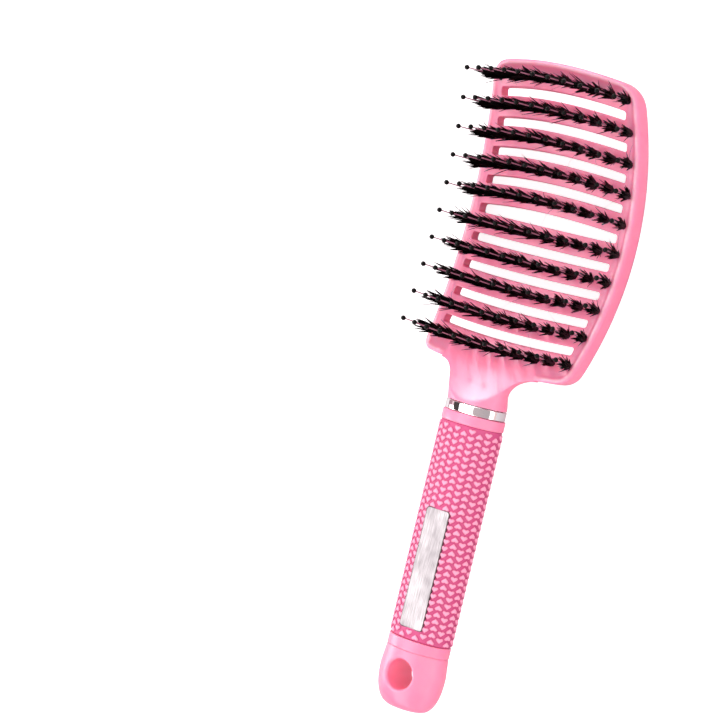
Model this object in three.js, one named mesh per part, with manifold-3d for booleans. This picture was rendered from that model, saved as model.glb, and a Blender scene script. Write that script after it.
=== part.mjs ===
// A curved, vented hair brush. One moulding makes the head, its ten ribs and its neck. Each
// rib carries a row of boar-hair tufts, with a ball-tipped nylon quill in every tuft. The
// oval handle is a core with a collar, under a soft sleeve, between a chrome ring and an
// end cap with a hang hole. A small magnet sits in the end of the cap.
//
// Lengths are millimetres. While modelling, X is across the brush, Y runs along the handle
// towards the top of the head, Z points out of the bristle side, and the origin is on the
// handle's axis at the chrome ring. At the end the whole group is moved, so that its origin
// is under the middle of its box and the brush lies on its back.

import * as THREE from "three";
import { mergeVertices } from "three/addons/utils/BufferGeometryUtils.js";
import Module from "manifold-3d";

// ---- Driving dimensions -------------------------------------------------------------------

// Touching pieces keep this gap.
const GAP = 0.3;

// The bed of the head is a saddle: it falls away to both sides and rises to both ends.
const CROWN_RADIUS = 108.7;
const SADDLE_RADIUS = 130;
const SADDLE_Y = 73;
const SADDLE_Z = -12.2;

// The head's outline, seen from the bristle side. Its sides and its ends are shallow arcs.
const HEAD_TOP_Y = 128.9;
const TOP_BOW = -2.8e-3;
const HEAD_BOTTOM_Y = 15.4;
const BOTTOM_BOW = 1.6e-3;
const HEAD_HALF_WIDTH = 36;
const WIDEST_Y = 66;
const SIDE_RADIUS = 385;
const TOP_CORNER = 6.5;
const BOTTOM_CORNER = 5;

// The frame around the ribs: a flat margin, and a raised rim with a skirt behind it.
const RIM_WIDTH = 2;
const RIM_RISE = 1.2;
const RIM_SKIRT = 5.8;
const RIM_BEVEL = 0.5;
const MARGIN_WIDTH = 5;
const BED_DEPTH = 3.6;
// Merged surfaces that would be flush are kept apart by this much, so that they cross cleanly.
const STEP = 0.3;

// The ribs stand in two groups of five, with a wider vent between the groups. The rows of
// the upper group bow towards the top of the head, and those of the lower group the other
// way. Each pair of bows is for the rows nearest the middle and furthest from it.
const ROWS = 10;
const ROW_PITCH = 10.9;
const MIDDLE_GAP = 1.6;
const LOWEST_ROW_Y = 23;
const LOWER_BOWS = [1e-4, 1.25e-3];
const UPPER_BOWS = [-1.6e-3, -2.3e-3];
const RIB_WIDTH = 7.6;

// A row of tufts, and the quill with a ball tip in each tuft.
const TUFTS_PER_ROW = 11;
const TUFT_TO_EDGE = 3.6;
const TUFT_BASE_RADIUS = 1.1;
const TUFT_TIP_RADIUS = 2.5;
const HAIR_LENGTH = 11.5;
const TUFTS_PART_AT = 8.5;
const TIP_NOTCH = 1.2;
const QUILL_RADIUS = 0.45;
const QUILL_LENGTH = 16.6;
const BALL_RADIUS = 0.85;
// Pins lean towards the top of the head, by this many degrees at WIDEST_Y, less above it.
const PIN_LEAN = 3.4;
const PIN_LEAN_PER_MM = 0.08;

// The neck, from the chrome ring up to the bottom of the head.
const NECK_BOTTOM_Y = 2.3;
const NECK_FILLET = 9;
const NECK_FILLET_Y = 6.6;

// Ovals of the handle, as half widths [across X, across Z].
const NECK_OVAL = [12.2, 8.6];
const RING_OVAL = [12.3, 8.7];
const RING_BORE = [10.9, 7.3];
const NECK_SPIGOT = [10.6, 7.0];
const COLLAR_OVAL = [12.8, 8.8];
const SLEEVE_OVAL = [12.7, 8.4];
const SLEEVE_BORE = [10.9, 6.6];
const CORE_OVAL = [10.6, 6.3];
const CORE_BORE = [8.5, 4.5];
const TANG_OVAL = [8.2, 4.2];
const CAP_OVAL = [13.0, 8.9];

// Places along the handle, going down from the ring.
const RING_TOP_Y = 2.0;
const RING_BOTTOM_Y = -1.4;
const COLLAR_BOTTOM_Y = -5.2;
const SLEEVE_BOTTOM_Y = -86.3;
const LOWER_COLLAR_BOTTOM_Y = -90.6;
const CAP_END_Y = -112.4;
const TANG_END_Y = -42;
const CAP_SPIGOT_END_Y = -76;

// The hang hole, the magnet and the name plate.
const HANG_HOLE_RADIUS = 5.6;
const HANG_HOLE_Y = -99.6;
const MAGNET_RADIUS = 3.9;
const MAGNET_THICKNESS = 3;
const PLATE_SIZE = [10.1, 44.6, 0.8];
const PLATE_Y = -59.9;
const PLATE_FACE_Z = 8.3;
const PLATE_CORNER = 1.2;

// ---- Materials ----------------------------------------------------------------------------

const plastic = (color, roughness) =>
  new THREE.MeshStandardMaterial({ color, roughness, metalness: 0 });
const metal = (color, roughness) =>
  new THREE.MeshStandardMaterial({ color, roughness, metalness: 1 });

// ---- Solids: joining, cutting and bending -------------------------------------------------

const wasm = await Module();
wasm.setup();

// A closed three.js geometry as a manifold solid.
function solidOf(geometry) {
  const bare = geometry.clone();
  bare.deleteAttribute("normal");
  bare.deleteAttribute("uv");
  const merged = mergeVertices(bare, 1e-4);
  return new wasm.Manifold(
    new wasm.Mesh({
      numProp: 3,
      vertProperties: new Float32Array(merged.attributes.position.array),
      triVerts: new Uint32Array(merged.index.array),
    }),
  );
}

// A manifold solid as a three.js geometry.
function geometryOf(solid) {
  const { vertProperties, triVerts } = solid.getMesh();
  const geometry = new THREE.BufferGeometry();
  geometry.setAttribute("position", new THREE.BufferAttribute(vertProperties, 3));
  geometry.setIndex(new THREE.BufferAttribute(triVerts, 1));
  geometry.computeVertexNormals();
  return geometry;
}

// Every vertex of a geometry goes where place(x, y, z) says.
function bend(geometry, place) {
  const position = geometry.attributes.position;
  for (let i = 0; i < position.count; i++) {
    const p = place(position.getX(i), position.getY(i), position.getZ(i));
    position.setXYZ(i, p.x, p.y, p.z);
  }
  return geometry;
}

const joined = (solids) => solids.reduce((whole, solid) => whole.add(solid));

// ---- The saddle of the head ---------------------------------------------------------------

// How far the bed has fallen at x, away from its centre line.
const crownDrop = (x) => CROWN_RADIUS - Math.sqrt(CROWN_RADIUS ** 2 - x ** 2);

// The height of the bed's centre line at y.
const saddleZ = (y) =>
  SADDLE_Z + SADDLE_RADIUS - Math.sqrt(SADDLE_RADIUS ** 2 - (y - SADDLE_Y) ** 2);

// The point at a height above the bed, or below it, over the plan position x, y.
const onBed = (x, y, height) => new THREE.Vector3(x, y, saddleZ(y) - crownDrop(x) + height);

// The height of row i on the centre line, counted from the handle, and how it bows.
const GROUP = ROWS / 2;
const rowY = (i) => LOWEST_ROW_Y + i * ROW_PITCH + (i < GROUP ? 0 : MIDDLE_GAP);
function rowBow(i) {
  const [middle, end] = i < GROUP ? LOWER_BOWS : UPPER_BOWS;
  const share = (i < GROUP ? GROUP - 1 - i : i - GROUP) / (GROUP - 1);
  return THREE.MathUtils.lerp(middle, end, share);
}
const rowCurveY = (i, x) => rowY(i) + rowBow(i) * x ** 2;

// Half the width of the head at y.
const headHalfWidth = (y) => HEAD_HALF_WIDTH - (y - WIDEST_Y) ** 2 / (2 * SIDE_RADIUS);

// ---- Head ---------------------------------------------------------------------------------

// The head's outline, drawn in by an inset, as corners that go around anticlockwise.
function headOutline(inset) {
  const side = (y) => headHalfWidth(y) - inset;
  const bottomEdge = (x) => HEAD_BOTTOM_Y + inset + BOTTOM_BOW * x ** 2;
  const topEdge = (x) => HEAD_TOP_Y - inset + TOP_BOW * x ** 2;
  const bottomRound = Math.max(BOTTOM_CORNER - inset, 1);
  const topRound = Math.max(TOP_CORNER - inset, 1);
  // Where the side would meet an end, if the corner weren't round.
  const meeting = (edge, guess) => {
    let y = guess;
    for (let pass = 0; pass < 6; pass++) y = edge(side(y));
    return new THREE.Vector2(side(y), y);
  };
  const low = meeting(bottomEdge, HEAD_BOTTOM_Y);
  const high = meeting(topEdge, HEAD_TOP_Y);
  const onEdge = (edge, x) => new THREE.Vector2(x, edge(x));
  const onSide = (y) => new THREE.Vector2(side(y), y);
  const round = (from, corner, to) => new THREE.QuadraticBezierCurve(from, corner, to).getPoints(3);
  const right = [];
  const flatSteps = 5;
  for (let k = 0; k < flatSteps; k++) {
    right.push(onEdge(bottomEdge, ((k + 0.5) / flatSteps) * (low.x - bottomRound)));
  }
  right.push(...round(onEdge(bottomEdge, low.x - bottomRound), low, onSide(low.y + bottomRound)));
  const sideSteps = 12;
  for (let k = 1; k < sideSteps; k++) {
    right.push(onSide(THREE.MathUtils.lerp(low.y + bottomRound, high.y - topRound, k / sideSteps)));
  }
  right.push(...round(onSide(high.y - topRound), high, onEdge(topEdge, high.x - topRound)));
  for (let k = flatSteps - 1; k >= 0; k--) {
    right.push(onEdge(topEdge, ((k + 0.5) / flatSteps) * (high.x - topRound)));
  }
  const left = right.map((p) => new THREE.Vector2(-p.x, p.y)).reverse();
  return [...right, ...left];
}

// A rail all the way around the head. The corners of its section are given anticlockwise,
// each as [inset from the outline, height over the bed].
function rail(section) {
  const corners = headOutline(0).length;
  const ringRadius = 100;
  const profile = [...section, section[0]].map(
    ([inset, height]) => new THREE.Vector2(ringRadius - inset, height),
  );
  const ring = new THREE.LatheGeometry(profile, corners);
  const place = (x, height, z) => {
    const turn = Math.atan2(x, z) / (2 * Math.PI);
    const corner = Math.round((turn + 1) * corners) % corners;
    const onOutline = headOutline(ringRadius - Math.hypot(x, z))[corner];
    return onBed(onOutline.x, onOutline.y, height);
  };
  return solidOf(bend(ring, place));
}

// A rib: a straight bar bent onto the bed along its row's curve.
function rib(i) {
  const reach = headHalfWidth(rowY(i)) - RIM_WIDTH / 2;
  const bar = new THREE.BoxGeometry(2 * reach, RIB_WIDTH, BED_DEPTH, 12, 1, 1);
  bar.translate(0, 0, -BED_DEPTH / 2);
  const place = (along, across, height) => onBed(along, rowCurveY(i, along) + across, height);
  return solidOf(bend(bar, place));
}

// Half the width of the neck at y: straight by the ring, then a round fillet to the shoulders.
function neckHalfWidth(y) {
  const rise = Math.min(Math.max(y - NECK_FILLET_Y, 0), NECK_FILLET);
  return NECK_OVAL[0] + NECK_FILLET - Math.sqrt(NECK_FILLET ** 2 - rise ** 2);
}

// The neck: its sections change from the handle's oval to the crowned slab of the head.
function neck() {
  const top = LOWEST_ROW_Y + STEP;
  const sections = 14;
  const form = new THREE.CylinderGeometry(1, 1, 1, 28, sections);
  const place = (sideways, up, forward) => {
    const y = NECK_BOTTOM_Y + (up + 0.5) * (top - NECK_BOTTOM_Y);
    const blend = THREE.MathUtils.smoothstep(y, NECK_BOTTOM_Y, HEAD_BOTTOM_Y);
    const front = THREE.MathUtils.lerp(NECK_OVAL[1], saddleZ(y) - STEP, blend);
    const back = THREE.MathUtils.lerp(-NECK_OVAL[1], saddleZ(y) - RIM_SKIRT + STEP, blend);
    const x = neckHalfWidth(y) * sideways;
    const squareness = Math.sign(forward) * Math.abs(forward) ** (1 - 0.5 * blend);
    const z = (front + back) / 2 + ((front - back) / 2) * squareness - blend * crownDrop(x);
    return new THREE.Vector3(x, y, z);
  };
  return solidOf(bend(form, place));
}

// A solid oval bar between two places along the handle.
function ovalBar([halfX, halfZ], lowY, highY, sides = 32) {
  const bar = new THREE.CylinderGeometry(1, 1, highY - lowY, sides, 1);
  bar.scale(halfX, 1, halfZ).translate(0, (lowY + highY) / 2, 0);
  return solidOf(bar);
}

function headFrame() {
  const rim = rail([
    [RIM_BEVEL, -RIM_SKIRT],
    [0, RIM_BEVEL - RIM_SKIRT],
    [0, RIM_RISE - RIM_BEVEL],
    [RIM_BEVEL, RIM_RISE],
    [RIM_WIDTH - RIM_BEVEL, RIM_RISE],
    [RIM_WIDTH, RIM_RISE - RIM_BEVEL],
    [RIM_WIDTH, -RIM_SKIRT],
  ]);
  const margin = rail([
    [RIM_WIDTH / 2, -BED_DEPTH - STEP],
    [RIM_WIDTH / 2, STEP],
    [MARGIN_WIDTH, STEP],
    [MARGIN_WIDTH, -BED_DEPTH - STEP],
  ]);
  const ribs = Array.from({ length: ROWS }, (_, i) => rib(i));
  const spigot = ovalBar(NECK_SPIGOT, RING_BOTTOM_Y + GAP, NECK_BOTTOM_Y + 1);
  const tang = ovalBar(TANG_OVAL, TANG_END_Y, NECK_BOTTOM_Y, 24);
  return joined([rim, margin, ...ribs, neck(), spigot, tang]);
}

// ---- Bristles -----------------------------------------------------------------------------

// Which way a pin at x, y points: square to the crown, and leaning a little along Y.
function pinDirection(x, y) {
  const aside = Math.asin(x / CROWN_RADIUS);
  const lean = THREE.MathUtils.degToRad(PIN_LEAN - PIN_LEAN_PER_MM * (y - WIDEST_Y));
  return new THREE.Vector3(
    Math.sin(aside) * Math.cos(lean),
    Math.sin(lean),
    Math.cos(aside) * Math.cos(lean),
  );
}

// The side view of a row, unrolled along the bed: x is along the row and y is up from the
// bed. Tufts flare until they meet, and a quill with a ball tip stands out of each one.
function rowOutline(halfLength) {
  const pitch = (2 * halfLength) / (TUFTS_PER_ROW - 1);
  const below = [];
  const above = [];
  for (let j = 0; j < TUFTS_PER_ROW; j++) {
    const s = -halfLength + j * pitch;
    const point = (aside, up) => new THREE.Vector2(s + aside, up);
    below.push(point(-TUFT_BASE_RADIUS, 0), point(TUFT_BASE_RADIUS, 0));
    above.push(point(-TUFT_TIP_RADIUS, HAIR_LENGTH), point(-QUILL_RADIUS, HAIR_LENGTH));
    above.push(point(-QUILL_RADIUS, QUILL_LENGTH - BALL_RADIUS));
    above.push(point(-BALL_RADIUS, QUILL_LENGTH), point(0, QUILL_LENGTH + BALL_RADIUS));
    above.push(point(BALL_RADIUS, QUILL_LENGTH), point(QUILL_RADIUS, QUILL_LENGTH - BALL_RADIUS));
    above.push(point(QUILL_RADIUS, HAIR_LENGTH), point(TUFT_TIP_RADIUS, HAIR_LENGTH));
    if (j < TUFTS_PER_ROW - 1) {
      below.push(point(pitch / 2, TUFTS_PART_AT));
      above.push(point(pitch / 2, HAIR_LENGTH - TIP_NOTCH));
    }
  }
  return [...below, ...above.reverse()];
}

// Half the thickness of a row across the brush, at a height above the bed.
function rowHalfThickness(up) {
  if (up > QUILL_LENGTH - BALL_RADIUS / 2) return BALL_RADIUS * 0.7;
  if (up > HAIR_LENGTH) return QUILL_RADIUS;
  return THREE.MathUtils.lerp(TUFT_BASE_RADIUS, TUFT_TIP_RADIUS, up / HAIR_LENGTH);
}

// One row of bristles: the outline given a thickness, then bent onto the bed.
function bristleRow(i) {
  const halfAngle = Math.asin((headHalfWidth(rowY(i)) - TUFT_TO_EDGE) / CROWN_RADIUS);
  const shape = new THREE.Shape(rowOutline(halfAngle * CROWN_RADIUS));
  const comb = new THREE.ExtrudeGeometry(shape, { depth: 2, bevelEnabled: false });
  comb.translate(0, 0, -1);
  const place = (along, up, side) => {
    const x = CROWN_RADIUS * Math.sin(along / CROWN_RADIUS);
    const y = rowCurveY(i, x);
    const foot = onBed(x, y - side * rowHalfThickness(up), STEP + GAP);
    return foot.addScaledVector(pinDirection(x, y), up);
  };
  return solidOf(bend(comb, place));
}

// ---- Handle -------------------------------------------------------------------------------

const ovalTube = (outer, bore, lowY, highY) =>
  ovalBar(outer, lowY, highY).subtract(ovalBar(bore, lowY - 1, highY + 1));

// The core: a collar under the chrome ring and a tube that fills the sleeve.
function handleCore() {
  const top = RING_BOTTOM_Y - GAP;
  const collar = ovalBar(COLLAR_OVAL, COLLAR_BOTTOM_Y, top);
  const tube = ovalBar(CORE_OVAL, SLEEVE_BOTTOM_Y, top);
  return collar.add(tube).subtract(ovalBar(CORE_BORE, SLEEVE_BOTTOM_Y - 1, top + 1));
}

// A flat plate with round corners, lying across X and Y with its top face at the height given.
function flatPlate([width, length, thickness], corner, faceZ) {
  const shape = new THREE.Shape();
  const x = width / 2;
  const y = length / 2;
  shape.moveTo(corner - x, -y).lineTo(x - corner, -y).quadraticCurveTo(x, -y, x, corner - y);
  shape.lineTo(x, y - corner).quadraticCurveTo(x, y, x - corner, y);
  shape.lineTo(corner - x, y).quadraticCurveTo(-x, y, -x, y - corner);
  shape.lineTo(-x, corner - y).quadraticCurveTo(-x, -y, corner - x, -y);
  const plate = new THREE.ExtrudeGeometry(shape, {
    depth: thickness,
    bevelEnabled: false,
    curveSegments: 3,
  });
  plate.translate(0, PLATE_Y, faceZ - thickness);
  return solidOf(plate);
}

// The sleeve has a shallow flat pocket for the name plate.
function gripSleeve() {
  const sleeve = ovalTube(SLEEVE_OVAL, SLEEVE_BORE, SLEEVE_BOTTOM_Y, COLLAR_BOTTOM_Y - GAP);
  const [width, length, thickness] = PLATE_SIZE;
  const roomy = [width + 2 * GAP, length + 2 * GAP, thickness + GAP + 2];
  return sleeve.subtract(flatPlate(roomy, PLATE_CORNER, PLATE_FACE_Z + 2));
}

// The end cap: a thumb-shaped end with the hang hole, and a spigot that plugs the core.
function endCap() {
  const top = LOWER_COLLAR_BOTTOM_Y - GAP;
  const spigotShare = TANG_OVAL[0] / CAP_OVAL[0];
  const profile = [new THREE.Vector2(0, CAP_END_Y)];
  const end = new THREE.CubicBezierCurve(
    new THREE.Vector2(0.46, CAP_END_Y),
    new THREE.Vector2(0.86, CAP_END_Y),
    new THREE.Vector2(1.06, CAP_END_Y + 6),
    new THREE.Vector2(1.04, CAP_END_Y + 15),
  );
  profile.push(...end.getPoints(7));
  profile.push(new THREE.Vector2(0.98, top), new THREE.Vector2(spigotShare, top));
  profile.push(new THREE.Vector2(spigotShare, CAP_SPIGOT_END_Y), new THREE.Vector2(0, CAP_SPIGOT_END_Y));
  const body = new THREE.LatheGeometry(profile, 32);
  const spigotSquash = TANG_OVAL[1] / spigotShare;
  bend(body, (x, y, z) => {
    const onSpigot = y > top - GAP && Math.hypot(x, z) < spigotShare + 0.01;
    return new THREE.Vector3(x * CAP_OVAL[0], y, z * (onSpigot ? spigotSquash : CAP_OVAL[1]));
  });
  const hole = new THREE.CylinderGeometry(HANG_HOLE_RADIUS, HANG_HOLE_RADIUS, 30, 32);
  hole.rotateX(Math.PI / 2).translate(0, HANG_HOLE_Y, 0);
  const pocketRadius = MAGNET_RADIUS + GAP;
  const pocketDepth = MAGNET_THICKNESS + GAP;
  const pocket = new THREE.CylinderGeometry(pocketRadius, pocketRadius, 2 * pocketDepth, 24);
  pocket.translate(0, CAP_END_Y, 0);
  return solidOf(body).subtract(solidOf(hole)).subtract(solidOf(pocket));
}

function magnet() {
  const disc = new THREE.CylinderGeometry(MAGNET_RADIUS, MAGNET_RADIUS, MAGNET_THICKNESS, 24);
  disc.translate(0, CAP_END_Y + MAGNET_THICKNESS / 2, 0);
  return solidOf(disc);
}

// ---- The whole brush ----------------------------------------------------------------------

const PINK = plastic(0xf8a3c0, 0.25);
const SLEEVE_PINK = plastic(0xea7aa0, 0.5);
const BRISTLE_BLACK = plastic(0x0c0a0b, 0.45);
const CHROME = metal(0xd8d8dc, 0.08);
const SILVER = metal(0xe6dfe0, 0.3);
const MAGNET_GREY = metal(0x8b8b90, 0.3);

const brush = new THREE.Group();

function add(name, solid, material) {
  const mesh = new THREE.Mesh(geometryOf(solid), material.clone());
  mesh.name = name;
  brush.add(mesh);
}

add("head_frame", headFrame(), PINK);
for (let i = 0; i < ROWS; i++) {
  const number = String(ROWS - i).padStart(2, "0");
  add(`bristle_row_${number}`, bristleRow(i), BRISTLE_BLACK);
}
add("ferrule_ring", ovalTube(RING_OVAL, RING_BORE, RING_BOTTOM_Y, RING_TOP_Y), CHROME);
add("handle_core", handleCore(), PINK);
add("grip_sleeve", gripSleeve(), SLEEVE_PINK);
add("name_plate", flatPlate(PLATE_SIZE, PLATE_CORNER, PLATE_FACE_Z), SILVER);
const lowerCollarTop = SLEEVE_BOTTOM_Y - GAP;
add("lower_collar", ovalTube(COLLAR_OVAL, CORE_BORE, LOWER_COLLAR_BOTTOM_Y, lowerCollarTop), PINK);
add("end_cap", endCap(), PINK);
add("base_magnet", magnet(), MAGNET_GREY);

// The origin goes under the middle of the box, so the brush lies on its back at height zero.
const box = new THREE.Box3().setFromObject(brush);
const middle = box.getCenter(new THREE.Vector3());
brush.position.set(-middle.x, -middle.y, -box.min.z);
brush.updateMatrixWorld(true);

export default brush;
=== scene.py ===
"""A curved, vented hair brush of pink moulded plastic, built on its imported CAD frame.

Shapes are worked out in the brush's own millimetres: X across, Y along the handle towards
the top of the head, Z out of the bristle side, from a point on the handle's axis at the
chrome ring. The CAD boxes say where that point is, and every mesh is placed from there.
"""

import math

import bpy
import numpy as np
from mathutils import Matrix, Vector


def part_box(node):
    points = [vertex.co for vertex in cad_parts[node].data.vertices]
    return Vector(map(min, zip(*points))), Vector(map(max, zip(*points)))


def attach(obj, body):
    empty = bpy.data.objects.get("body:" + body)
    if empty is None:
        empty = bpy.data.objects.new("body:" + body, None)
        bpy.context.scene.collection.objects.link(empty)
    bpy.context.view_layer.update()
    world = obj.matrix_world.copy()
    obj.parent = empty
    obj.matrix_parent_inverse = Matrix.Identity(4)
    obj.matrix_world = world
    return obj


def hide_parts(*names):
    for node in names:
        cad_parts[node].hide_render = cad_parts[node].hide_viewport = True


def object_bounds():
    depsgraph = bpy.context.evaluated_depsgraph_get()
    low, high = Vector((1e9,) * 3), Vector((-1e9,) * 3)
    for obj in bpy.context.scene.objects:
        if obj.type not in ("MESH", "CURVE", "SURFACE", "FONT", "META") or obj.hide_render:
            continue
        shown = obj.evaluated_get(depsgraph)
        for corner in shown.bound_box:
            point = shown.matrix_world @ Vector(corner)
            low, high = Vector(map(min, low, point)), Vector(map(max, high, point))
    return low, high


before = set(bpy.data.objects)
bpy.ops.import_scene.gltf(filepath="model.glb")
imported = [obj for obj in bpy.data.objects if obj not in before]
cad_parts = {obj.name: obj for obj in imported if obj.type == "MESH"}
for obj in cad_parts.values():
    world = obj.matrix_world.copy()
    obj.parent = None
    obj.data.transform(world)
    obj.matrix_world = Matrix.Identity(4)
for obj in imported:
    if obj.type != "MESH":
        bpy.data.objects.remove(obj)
cad_low, cad_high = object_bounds()

MM = 0.001
BODY = "root"

# ---- Where the brush lies, from the CAD boxes, in millimetres -------------------------------


def cad_box(node):
    """The lowest and highest corner of a CAD node, in millimetres of the row frame."""
    low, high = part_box(node)
    return np.array(low) / MM, np.array(high) / MM


RING_TOP = 2.0
ring_low, ring_high = cad_box("ferrule_ring")
ORIGIN = np.array([0.0, ring_high[1] - RING_TOP, (ring_low[2] + ring_high[2]) / 2])


def cad_span(node):
    """The lowest and highest corner of a CAD node, from the brush's own point."""
    low, high = cad_box(node)
    return low - ORIGIN, high - ORIGIN


_, head_high = cad_span("head_frame")
core_low, core_high = cad_span("handle_core")
sleeve_low, sleeve_high = cad_span("grip_sleeve")
plate_low, plate_high = cad_span("name_plate")
collar_low, collar_high = cad_span("lower_collar")
cap_low, _ = cad_span("end_cap")
magnet_low, magnet_high = cad_span("base_magnet")

# ---- Driving dimensions, millimetres --------------------------------------------------------

CROWN_RADIUS = 108.7
SADDLE_RADIUS = 130.0
SADDLE_Y = 73.0
SADDLE_Z = -12.2
HEAD_TOP_Y = head_high[1]
TOP_BOW = -2.8e-3
HEAD_BOTTOM_Y = 15.4
BOTTOM_BOW = 1.6e-3
HEAD_HALF_WIDTH = 36.0
WIDEST_Y = 66.0
SIDE_RADIUS = 385.0
TOP_CORNER = 6.5
BOTTOM_CORNER = 5.0
RIM_SKIRT = 5.8
BED_HEIGHT = 0.3
BED_DEPTH = 3.9
MARGIN_WIDTH = 5.0
VENT_CORNER = 0.9
EDGE_ROUND = 0.4
BED_UNDER_SIDE = 1.5
BED_UNDER_END = 1.2

ROWS = 10
GROUP = ROWS // 2
ROW_PITCH = 10.9
MIDDLE_GAP = 1.6
LOWEST_ROW_Y = 23.0
LOWER_BOWS = (1e-4, 1.25e-3)
UPPER_BOWS = (-1.6e-3, -2.3e-3)
RIB_WIDTH = 7.6

TUFTS = 11
TUFT_TO_EDGE = 3.6
TUFT_ROOT_RADIUS = 1.35
HAIR_LENGTH = 11.2
HAIR_RADIUS = 0.18
LOCKS_IN_TUFT = 24
HAIRS_IN_LOCK = 4
STRAYS_IN_ROW = 3
QUILL_RADIUS = 0.24
QUILL_LENGTH = 16.6
BALL_RADIUS = 0.97
HAIR_RINGS = 5
HAIR_SIDES = 3
HAIR_TAPER = (1.0, 1.0, 0.95, 0.8, 0.25)
LOCK_REACHES = (0.88, 1.0, 1.2)
LOCK_REACH_ODDS = (0.35, 0.5, 0.15)
BARB_ODDS = 0.36
BARB_REACH = 0.72
BARB_SPREAD = 0.15
LOOSE_ODDS = 0.06
STRAY_RADIUS = 0.05
STRAY_TAPER = (1.0, 1.0, 0.9, 0.8, 0.5)
PIN_LEAN = 3.4
PIN_LEAN_PER_MM = 0.08

NECK_BOTTOM_Y = 2.3
NECK_TOP_Y = 22.6
NECK_FILLET = 9.0
NECK_FILLET_Y = 6.6
NECK_OVAL = (12.2, 8.6)

HEART_PITCH = 2.55
HEART_COLUMNS = 22
HEART_SIZE = 1.5
HEART_SQUAT = 0.86
HEART_RELIEF = 0.62

HANG_HOLE_RADIUS = 5.6
HANG_HOLE_Y = -99.6
HOLE_LIP = 0.9
CAP_HALF = (13.0, 8.9)

# ---- The saddle of the head -------------------------------------------------------------------


def smoothstep(value, low, high):
    """0 below low, 1 above high, and an S curve between them."""
    t = np.clip((value - low) / (high - low), 0, 1)
    return t * t * (3 - 2 * t)


def crown_drop(x):
    """How far a circle of CROWN_RADIUS has fallen at x from its top."""
    return CROWN_RADIUS - np.sqrt(CROWN_RADIUS**2 - x**2)


def saddle_z(y):
    """The height of the bed's centre line: a circle that is lowest at SADDLE_Y."""
    return SADDLE_Z + SADDLE_RADIUS - np.sqrt(SADDLE_RADIUS**2 - (y - SADDLE_Y) ** 2)


def on_bed(x, y, height):
    """Points at a height over the bed, straight above the places x, y."""
    x, y, height = np.broadcast_arrays(x, y, height)
    return np.stack([x, y, saddle_z(y) - crown_drop(x) + height], -1)


def row_y(i):
    """Where row i crosses the middle, counted from the handle."""
    return LOWEST_ROW_Y + i * ROW_PITCH + (0 if i < GROUP else MIDDLE_GAP)


def row_bow(i):
    """How strongly row i bows. It changes evenly through each group of rows."""
    middle, end = LOWER_BOWS if i < GROUP else UPPER_BOWS
    share = (GROUP - 1 - i if i < GROUP else i - GROUP) / (GROUP - 1)
    return middle + (end - middle) * share


def row_curve(i, x):
    """Row i's place along the brush at x: a shallow parabola."""
    return row_y(i) + row_bow(i) * x**2


def half_width(y):
    """Half the head's width at y: a circle of SIDE_RADIUS, taken as a parabola."""
    return HEAD_HALF_WIDTH - (y - WIDEST_Y) ** 2 / (2 * SIDE_RADIUS)


def neck_half_width(y):
    """Half the neck's width at y: straight by the ring, then a quarter circle outwards."""
    rise = np.clip(y - NECK_FILLET_Y, 0, NECK_FILLET)
    return NECK_OVAL[0] + NECK_FILLET - np.sqrt(NECK_FILLET**2 - rise**2)


# ---- Meshes -----------------------------------------------------------------------------------


def grid_faces(rows, columns, wrap_rows=False, wrap_columns=False):
    """The four-cornered faces of a grid of points, which may close on itself either way."""
    i = np.arange(rows if wrap_rows else rows - 1)[:, None]
    j = np.arange(columns if wrap_columns else columns - 1)[None, :]
    next_i, next_j = (i + 1) % rows, (j + 1) % columns
    this, other = i * columns, next_i * columns
    corners = np.broadcast_arrays(this + j, this + next_j, other + next_j, other + j)
    return np.stack(corners, -1).reshape(-1, 4)


def enclosed_volume(points, faces):
    """Six times the volume inside closed faces: positive where they point outwards."""
    total = 0.0
    for block in faces:
        first = points[block[:, 0]]
        for k in range(1, block.shape[1] - 1):
            second, third = points[block[:, k]], points[block[:, k + 1]]
            total += np.einsum("ij,ij->", first, np.cross(second, third))
    return total


def piece(name, points, faces, finish, slot, stands_for, sharp=40.0, **attributes):
    """One closed piece of the brush, from points in brush millimetres and blocks of faces.

    The faces are turned outwards, edges sharper than an angle in degrees shade as corners,
    and each named attribute is one number for every point."""
    points = points.reshape(-1, 3)
    faces = [block for block in faces if len(block)]
    if enclosed_volume(points - points.mean(0), faces) < 0:
        faces = [block[:, ::-1] for block in faces]
    mesh = bpy.data.meshes.new(name)
    mesh.vertices.add(len(points))
    mesh.vertices.foreach_set("co", ((points + ORIGIN) * MM).astype(np.float32).ravel())
    corners = np.concatenate([block.ravel() for block in faces]).astype(np.int32)
    sizes = np.concatenate([np.full(len(block), block.shape[1]) for block in faces])
    mesh.loops.add(len(corners))
    mesh.loops.foreach_set("vertex_index", corners)
    mesh.polygons.add(len(sizes))
    mesh.polygons.foreach_set("loop_start", (np.cumsum(sizes) - sizes).astype(np.int32))
    mesh.polygons.foreach_set("use_smooth", np.ones(len(sizes), bool))
    mesh.update(calc_edges=True)
    mesh.validate()
    mesh.set_sharp_from_angle(angle=math.radians(sharp))
    for attribute, values in attributes.items():
        layer = mesh.attributes.new(attribute, "FLOAT", "POINT")
        layer.data.foreach_set("value", np.asarray(values, np.float32).ravel())
    mesh.materials.append(finish)
    made = bpy.data.objects.new(name, mesh)
    bpy.context.scene.collection.objects.link(made)
    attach(made, BODY)
    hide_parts(*stands_for)
    return made


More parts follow.
